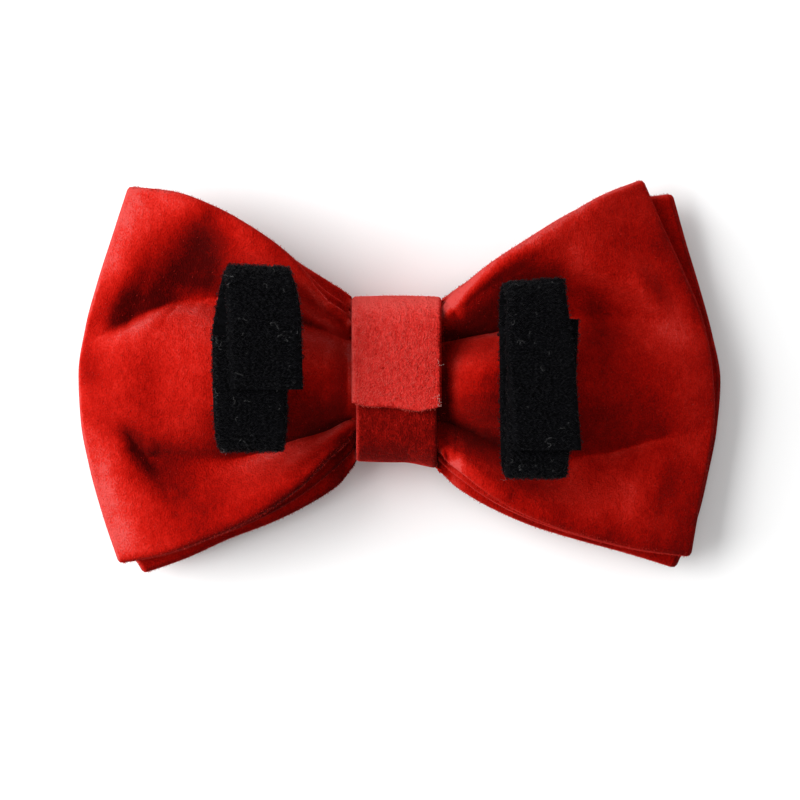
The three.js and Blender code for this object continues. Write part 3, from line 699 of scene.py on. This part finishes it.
def tubes(name, paths, radius):
    """Closed three-sided fibres along paths, an array of fibre, point and x, y, z in millimetres."""
    count, steps = paths.shape[:2]
    along = unit(np.gradient(paths, axis=1))
    helper = unit(RANDOM.normal(size=(count, 1, 3))) + np.zeros_like(along)
    side = unit(np.cross(along, helper))
    other = np.cross(along, side)
    angle = np.arange(FIBRE_SIDES) * 2 * math.pi / FIBRE_SIDES
    spokes = np.cos(angle)[:, None] * side[:, :, None] + np.sin(angle)[:, None] * other[:, :, None]
    rings = paths[:, :, None] + radius * spokes
    index = np.arange(count * steps * FIBRE_SIDES).reshape(count, steps, FIBRE_SIDES)
    following = np.roll(index, -1, axis=2)
    walls = np.stack([index[:, :-1], following[:, :-1], following[:, 1:], index[:, 1:]], axis=-1)
    faces = walls.reshape(-1, 4).tolist() + index[:, 0, ::-1].tolist() + index[:, -1].tolist()
    return mesh_object(name, rings.reshape(-1, 3), faces)


def surface_spots(points, wall, rows, columns, closed_u=False):
    """Places on a sheet's outer face at fractional rows and columns, with the ways up and across."""
    normal, across = grid_normals(points, closed_u)
    i, j = rows.astype(int), columns.astype(int)
    place = points[i, j] + (rows - i)[:, None] * (points[i + 1, j] - points[i, j])
    place += (columns - j)[:, None] * (points[i, j + 1] - points[i, j])
    return place + normal[i, j] * wall[i, j, None] / 2, normal[i, j], unit(across)[i, j]


def loops(place, up, flat, width, height, sunk=0.06):
    """Arches of thread from place: up is away from the cloth, flat the way that they span."""
    t = np.linspace(0, 1, 5)[None, :, None]
    arch = np.sin(math.pi * t) * height[:, None, None] - sunk
    return place[:, None] + flat[:, None] * (t - 0.5) * width[:, None, None] + up[:, None] * arch


def rim_spots(points, wall, count, closed_u=False, sunk=0.0):
    """Random places on a sheet's two rounded edges, with the ways out of the edge and up."""
    rows = RANDOM.random(count) * (points.shape[0] - 2)
    right = RANDOM.random(count) < 0.5
    columns = np.where(right, points.shape[1] - 2 + RIM, 0.0)
    place, up, across = surface_spots(points, wall, rows, columns, closed_u)
    angle = RANDOM.random(count)[:, None] * math.pi
    way = across * np.where(right, 1, -1)[:, None] * np.sin(angle) + up * np.cos(angle)
    half = wall[rows.astype(int), 0, None] / 2
    return place - up * half + way * (half - sunk), way, up


def make_strap_pile(name, points, wall, count=5600, edge_count=900):
    """Loops of thread in rows over the tape's outer face, and along its two edges."""
    steps_u, steps_v = points.shape[0] - 2, points.shape[1] - 2
    rows = RANDOM.random(count * 3) * steps_u
    rows = np.clip(np.round(rows / PILE_ROW) * PILE_ROW + RANDOM.normal(size=rows.size), 0, steps_u)
    place, up, across = surface_spots(points, wall, rows, RANDOM.random(rows.size) * steps_v)
    kept_unseen = RANDOM.random(rows.size) < LOOPS_UNSEEN
    keep = np.flatnonzero((up[:, 2] > LOOPS_SEEN_FROM) | kept_unseen)[:count]
    place, up, across = place[keep], up[keep], across[keep]
    rim, rim_way, _ = rim_spots(points, wall, edge_count)
    place, up = np.concatenate([place, rim]), np.concatenate([up, rim_way])
    flat = unit(np.cross(up, RANDOM.normal(size=up.shape)))
    flat[:len(across)] = unit(across + LOOP_SLANT * flat[:len(across)])
    wide, high = RANDOM.random((2, len(place)))
    width, height = np.interp(wide, (0, 1), LOOP_WIDTHS), np.interp(high, (0, 1), LOOP_HEIGHTS)
    return tubes(name, loops(place, up, flat, width, height), LOOP_RADIUS)


def curls(place, up, flat, step, points=9, bend=0.75, rise=0.10, start=0.5):
    """Curly threads that begin at a height of start over place and wander over the cloth."""
    side = np.cross(up, flat)
    turn = np.cumsum(RANDOM.normal(size=(len(place), points - 1)) * bend, axis=1)[..., None]
    moves = (flat[:, None] * np.cos(turn) + side[:, None] * np.sin(turn)) * step[:, None, None]
    moves = moves + up[:, None] * RANDOM.normal(size=(len(place), points - 1, 1)) * rise
    path = np.concatenate([np.zeros((len(place), 1, 3)), np.cumsum(moves, axis=1)], axis=1)
    return place[:, None] + up[:, None] * start + path


def make_lint(name, points, wall, spots, scattered):
    """Pale lint: some threads scattered all over a sheet's upper side, and more of them at the spots."""
    normal, _ = grid_normals(points, False)
    facing = np.argwhere(normal[..., 2] > LINT_LIES_FROM)
    near = points[facing[:, 0], facing[:, 1]]
    chosen = [facing[RANDOM.integers(0, len(facing), scattered)]]
    for x, y, spread, count in spots:
        gap = np.hypot(near[:, 0] - x, near[:, 1] - y) - LINT_LIKES_HEIGHT * near[:, 2]
        best = facing[np.argsort(gap)[:max(1, int(spread * spread * LINT_CELLS))]]
        chosen.append(best[RANDOM.integers(0, len(best), count)])
    i, j = np.concatenate(chosen).T
    up = normal[i, j]
    place = points[i, j] + up * wall[i, j, None] / 2 + RANDOM.normal(size=up.shape) * LINT_STRAYS
    flat = unit(np.cross(up, RANDOM.normal(size=up.shape)))
    step = np.interp(RANDOM.random(len(up)) ** 2, (0, 1), LINT_STEPS)
    return tubes(name, curls(place, up, flat, step), LINT_RADIUS)


def make_band_fray(points, wall, count=260, flare=0.7, bend=0.3, radius=0.035):
    """Short pale fibres along the raw outer end of the band."""
    columns = RANDOM.random(count) * (points.shape[1] - 2)
    rows = np.full(count, points.shape[0] - 2 + FRAY_ROW)
    place, up, sideways = surface_spots(points, wall, rows, columns)
    place = place - up * (RANDOM.random(count) * BAND_WALL)[:, None]
    out = unit(np.cross(sideways, up) + flare * RANDOM.normal(size=up.shape) * (1, 1, 0.3))
    out = out * np.where(out[:, 1:2] > 0, -1, 1)
    length = np.interp(RANDOM.random(count) ** 3, (0, 1), FRAY_LENGTHS)[:, None, None]
    t = np.linspace(0, 1, 4)[None, :, None]
    curve = RANDOM.normal(size=(count, 1, 3)) * (1, 1, 0.4) * bend
    return tubes("band_frayed_end", place[:, None] + length * (out[:, None] * t + curve * t * t), radius)


def make_band_streaks(points, wall, count=1500, slant=0.5, stray=0.35, arch=0.12, sunk=0.02, radius=0.028):
    """Short fibres of the pile that lie down and to the left over the band's outer end, painted pale pink
    as a sheen.
    """
    steps_u, steps_v = points.shape[0] - 2, points.shape[1] - 2
    rows = steps_u * (STREAKS_FROM + (1 - STREAKS_FROM) * RANDOM.random(count))
    place, up, sideways = surface_spots(points, wall, rows, RANDOM.random(count) * steps_v)
    onward = unit(np.cross(sideways, up))
    onward = onward * np.where(onward[:, 1:2] > 0, -1, 1)
    way = unit(onward - slant * sideways + stray * RANDOM.normal(size=up.shape))
    length = np.interp(RANDOM.random(count), (0, 1), STREAK_LENGTHS)[:, None, None]
    t = np.linspace(0, 1, 3)[None, :, None]
    path = place[:, None] + length * way[:, None] * t + up[:, None] * (arch * np.sin(math.pi * t) - sunk)
    return tubes("band_velvet_streaks", path, radius)


def make_edge_pile(name, points, wall, count=3600, specks=1500, sunk=0.05, stray=0.5, radius=0.032):
    """Short pile standing out from the open edges of a bow's layer, and specks of it on its face."""
    place, way, up = rim_spots(points, wall, count, closed_u=True, sunk=sunk)
    off_fold = np.abs(up[:, 2]) > EDGE_PILE_OFF_FOLD
    rows = RANDOM.random(specks) * (points.shape[0] - 2)
    columns = RANDOM.random(specks) * (points.shape[1] - 2)
    speck, speck_up, _ = surface_spots(points, wall, rows, columns, closed_u=True)
    flat = unit(np.cross(speck_up, RANDOM.normal(size=speck_up.shape)))
    place = np.concatenate([place[off_fold], speck])
    way = np.concatenate([way[off_fold], unit(flat + speck_up / 2)])
    lean = unit(way + stray * RANDOM.normal(size=way.shape))
    length = np.interp(RANDOM.random(len(way)), (0, 1), PILE_LENGTHS)[:, None, None]
    t = np.linspace(0, 1, 3)[None, :, None]
    path = way[:, None] * (t - t * t / 2) + lean[:, None] * t * t / 2
    return tubes(name, place[:, None] + length * path, radius)


def noise(nodes, links, place, scale_mm, detail, stretch=(1, 1, 1)):
    """Noise with features of about scale_mm, drawn out along the axes where stretch is large."""
    mapping = nodes.new("ShaderNodeMapping")
    mapping.inputs["Scale"].default_value = [1 / (scale_mm * MM * k) for k in stretch]
    texture = nodes.new("ShaderNodeTexNoise")
    texture.inputs["Scale"].default_value = 1.0
    texture.inputs["Detail"].default_value = detail
    texture.inputs["Roughness"].default_value = 0.6
    links.new(place.outputs["Object"], mapping.inputs["Vector"])
    links.new(mapping.outputs["Vector"], texture.inputs["Vector"])
    return texture.outputs["Fac"]


def add_scaled(nodes, links, value, factor, rest):
    """Socket for value * factor + rest, where rest is a socket or a number."""
    node = nodes.new("ShaderNodeMath")
    node.operation = "MULTIPLY_ADD"
    links.new(value, node.inputs[0])
    node.inputs[1].default_value = factor
    if isinstance(rest, (int, float)):
        node.inputs[2].default_value = rest
    else:
        links.new(rest, node.inputs[2])
    return node.outputs[0]


def principled(name, roughness, specular):
    """New material, and its Principled shader."""
    mat = bpy.data.materials.new(name)
    mat.use_nodes = True
    shader = mat.node_tree.nodes["Principled BSDF"]
    shader.inputs["Roughness"].default_value = roughness
    shader.inputs["Specular IOR Level"].default_value = specular
    return mat, shader


def plain(name, colour, roughness=0.9, specular=0.1):
    mat, shader = principled(name, roughness, specular)
    shader.inputs["Base Color"].default_value = (*colour, 1)
    return mat


def tone_and_bump(nodes, links, shader, tone, tones, height, bump_mm):
    """Colour the shader along a ramp of tones by the tone socket, and bump it by the height socket."""
    ramp = nodes.new("ShaderNodeValToRGB")
    stops = ramp.color_ramp.elements
    while len(stops) < len(tones):
        stops.new(0.5)
    for stop, (position, colour) in zip(stops, tones):
        stop.position = position
        stop.color = (*colour, 1)
    bump = nodes.new("ShaderNodeBump")
    bump.inputs["Distance"].default_value = bump_mm * MM
    links.new(tone, ramp.inputs["Fac"])
    links.new(ramp.outputs["Color"], shader.inputs["Base Color"])
    links.new(height, bump.inputs["Height"])
    links.new(bump.outputs["Normal"], shader.inputs["Normal"])


def velvet(name, tones, cloud, mottling, grain, bump_mm, sheen_tint):
    """Velvet: tones from painted shade to painted light along the tone stored on the mesh, whose pink top
    tones are a painted sheen. cloud, mottling and grain are how much the tone wanders over about 6, 1 and a
    quarter of a millimetre."""
    mat, shader = principled(name, 0.95, 0.03)
    nodes, links = mat.node_tree.nodes, mat.node_tree.links
    place = nodes.new("ShaderNodeTexCoord")
    # the stored tone: painted light, shade and sheen, with some nap
    painted_shade_and_nap = nodes.new("ShaderNodeAttribute")
    painted_shade_and_nap.attribute_name = "painted_shade_and_nap"
    clouds = noise(nodes, links, place, 6.0, 3)
    mottle = noise(nodes, links, place, 1.1, 4, (1, 1.5, 1))
    pile = noise(nodes, links, place, 0.26, 2, (1, 1.4, 1))
    spread = [amount * NOISE_SPREAD for amount in (cloud, mottling, grain)]
    tone = add_scaled(nodes, links, clouds, spread[0], -sum(spread) / 2)
    tone = add_scaled(nodes, links, mottle, spread[1], tone)
    tone = add_scaled(nodes, links, pile, spread[2], tone)
    tone = add_scaled(nodes, links, painted_shade_and_nap.outputs["Fac"], 1.0, tone)
    height = add_scaled(nodes, links, pile, 0.6, 0.0)
    height = add_scaled(nodes, links, mottle, 0.6, height)
    tone_and_bump(nodes, links, shader, tone, tones, height, bump_mm)
    shader.inputs["Sheen Weight"].default_value = 0.05
    shader.inputs["Sheen Roughness"].default_value = 0.4
    shader.inputs["Sheen Tint"].default_value = (*sheen_tint, 1)
    return mat


def black_tape(name, tones, bump_mm):
    """Black loop tape: rows of loops across it, in nearly black tones."""
    mat, shader = principled(name, 0.95, 0.03)
    nodes, links = mat.node_tree.nodes, mat.node_tree.links
    place = nodes.new("ShaderNodeTexCoord")
    threads = noise(nodes, links, place, 0.35, 4, (1.6, 1, 1))
    rows = noise(nodes, links, place, 0.8, 2, (8, 1, 4))
    height = add_scaled(nodes, links, rows, 0.5, 0.0)
    height = add_scaled(nodes, links, threads, 0.5, height)
    tone_and_bump(nodes, links, shader, height, tones, height, bump_mm)
    return mat


def area_light(name, place, target, size, power):
    data = bpy.data.lights.new(name, "AREA")
    data.size = size
    data.energy = power
    obj = bpy.data.objects.new(name, data)
    obj.location = place
    obj.rotation_mode = "QUATERNION"
    obj.rotation_quaternion = (Vector(target) - Vector(place)).to_track_quat("-Z", "Y")
    bpy.context.scene.collection.objects.link(obj)


def make_camera():
    lens, sensor = 200.0, 36.0
    reach = PHOTO_SIDE * PHOTO_MM * MM * lens / sensor
    data = bpy.data.cameras.new("camera")
    data.lens, data.sensor_width = lens, sensor
    data.clip_start, data.clip_end = 0.05, 10
    obj = bpy.data.objects.new("camera", data)
    x = (PHOTO_SIDE / 2 - PHOTO_ORIGIN[0]) * PHOTO_MM * MM
    y = (PHOTO_ORIGIN[1] - PHOTO_SIDE / 2) * PHOTO_MM * MM
    obj.location = (x, y, SCALE_HEIGHT * MM + reach)
    bpy.context.scene.collection.objects.link(obj)
    bpy.context.scene.camera = obj


def make_stage():
    side = 3.0
    floor = mesh_object("floor", np.array([(-1, -1, 0), (1, -1, 0), (1, 1, 0), (-1, 1, 0)]) * side / MM,
                        [[0, 1, 2, 3]], smooth_faces=False)
    floor.data.materials.append(plain("floor_white", (0.9, 0.9, 0.9), specular=0.5))
    world = bpy.data.worlds.new("studio")
    world.use_nodes = True
    world.node_tree.nodes["Background"].inputs["Color"].default_value = (1, 1, 1, 1)
    world.node_tree.nodes["Background"].inputs["Strength"].default_value = 0.50
    bpy.context.scene.world = world
    area_light("key", place=(-0.77, 0.13, 0.62), target=(0, 0, 0.01), size=0.95, power=17.5)
    area_light("top", place=(0.1, 0.2, 1.3), target=(0, 0, 0), size=0.5, power=2)
    bpy.context.scene.view_settings.view_transform = "Standard"


make_camera()
make_stage()

# Tones are (place on the ramp, colour), from painted shade at 0 to painted light at 1; the pink top tones
# are a painted sheen
VELVET = velvet("red_velvet", cloud=0.06, mottling=0.04, grain=0.08, bump_mm=0.8,
                sheen_tint=(1.0, 0.15, 0.12),
                tones=[(0.0, (0.05, 0.0003, 0.0002)), (0.3, (0.17, 0.0012, 0.0004)),
                       (0.5, (0.30, 0.0026, 0.0008)), (0.7, (0.44, 0.0078, 0.004)),
                       (0.85, (0.54, 0.020, 0.014)), (1.0, (0.57, 0.058, 0.052))])
BAND_VELVET = velvet("band_velvet", cloud=0.05, mottling=0.09, grain=0.12, bump_mm=1.5,
                     sheen_tint=(1.0, 0.2, 0.18),
                     tones=[(0.0, (0.12, 0.0010, 0.0005)), (0.3, (0.29, 0.0040, 0.0020)),
                            (0.55, (0.63, 0.021, 0.016)), (0.8, (0.80, 0.044, 0.036)),
                            (1.0, (0.88, 0.085, 0.072))])
TAPE_BLACK = black_tape("loop_tape_black", bump_mm=0.35,
                        tones=[(0.42, (0.0012, 0.0012, 0.0014)), (0.68, (0.004, 0.004, 0.005))])
LOOP_BLACK = plain("loop_pile_black", (0.0025, 0.0025, 0.0035), roughness=0.35, specular=0.12)
LINT_GREY = plain("lint_grey", (0.13, 0.13, 0.13))
LINT_PALE = plain("lint_pale", (0.62, 0.42, 0.38))
# painted sheen: the band's streak fibres are coloured lighter and pinker than its red
STREAK_SHEEN_PINK = plain("streak_sheen_pink", (0.85, 0.11, 0.09))
FRAY_PINK = plain("frayed_pink", (0.66, 0.08, 0.06))
FUZZ_RED = plain("edge_fuzz_red", (0.48, 0.022, 0.015))

back, back_points, back_wall = make_bow("back")
front, front_points, front_wall = make_bow("front")
band, band_points, band_wall = make_band()
left, left_points, left_wall = make_strap("left_collar_strap")
right, right_points, right_wall = make_strap("right_collar_strap")
back_pile = make_edge_pile("back_velvet_edge_pile", back_points, back_wall)
front_pile = make_edge_pile("front_velvet_edge_pile", front_points, front_wall)
fray = make_band_fray(band_points, band_wall)
left_pile = make_strap_pile("left_tape_pile", left_points, left_wall)
right_pile = make_strap_pile("right_tape_pile", right_points, right_wall)
left_lint = make_lint("left_tape_lint", left_points, left_wall, LEFT_LINT, 34)
right_lint = make_lint("right_tape_lint", right_points, right_wall, RIGHT_LINT, 34)
streaks = make_band_streaks(band_points, band_wall)
band_lint = make_lint("band_velvet_lint", band_points, band_wall, BAND_LINT, 0)

for piece, node, slot, mat in [
    (back, "back_bow", "velvet", VELVET),
    (front, "front_bow", "velvet", VELVET),
    (back_pile, "back_bow", "velvet", FUZZ_RED),
    (front_pile, "front_bow", "velvet", FUZZ_RED),
    (band, "centre_band", "band_velvet", BAND_VELVET),
    (fray, "centre_band", "band_velvet", FRAY_PINK),
    (streaks, "centre_band", "band_velvet", STREAK_SHEEN_PINK),
    (band_lint, "centre_band", "band_velvet", LINT_PALE),
    (left, "left_collar_strap", "loop_tape", TAPE_BLACK),
    (right, "right_collar_strap", "loop_tape", TAPE_BLACK),
    (left_pile, "left_collar_strap", "loop_tape", LOOP_BLACK),
    (right_pile, "right_collar_strap", "loop_tape", LOOP_BLACK),
    (left_lint, "left_collar_strap", "loop_tape", LINT_GREY),
    (right_lint, "right_collar_strap", "loop_tape", LINT_GREY),
]:
    piece.data.materials.append(mat)
    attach(piece, "root")
    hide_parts(node)
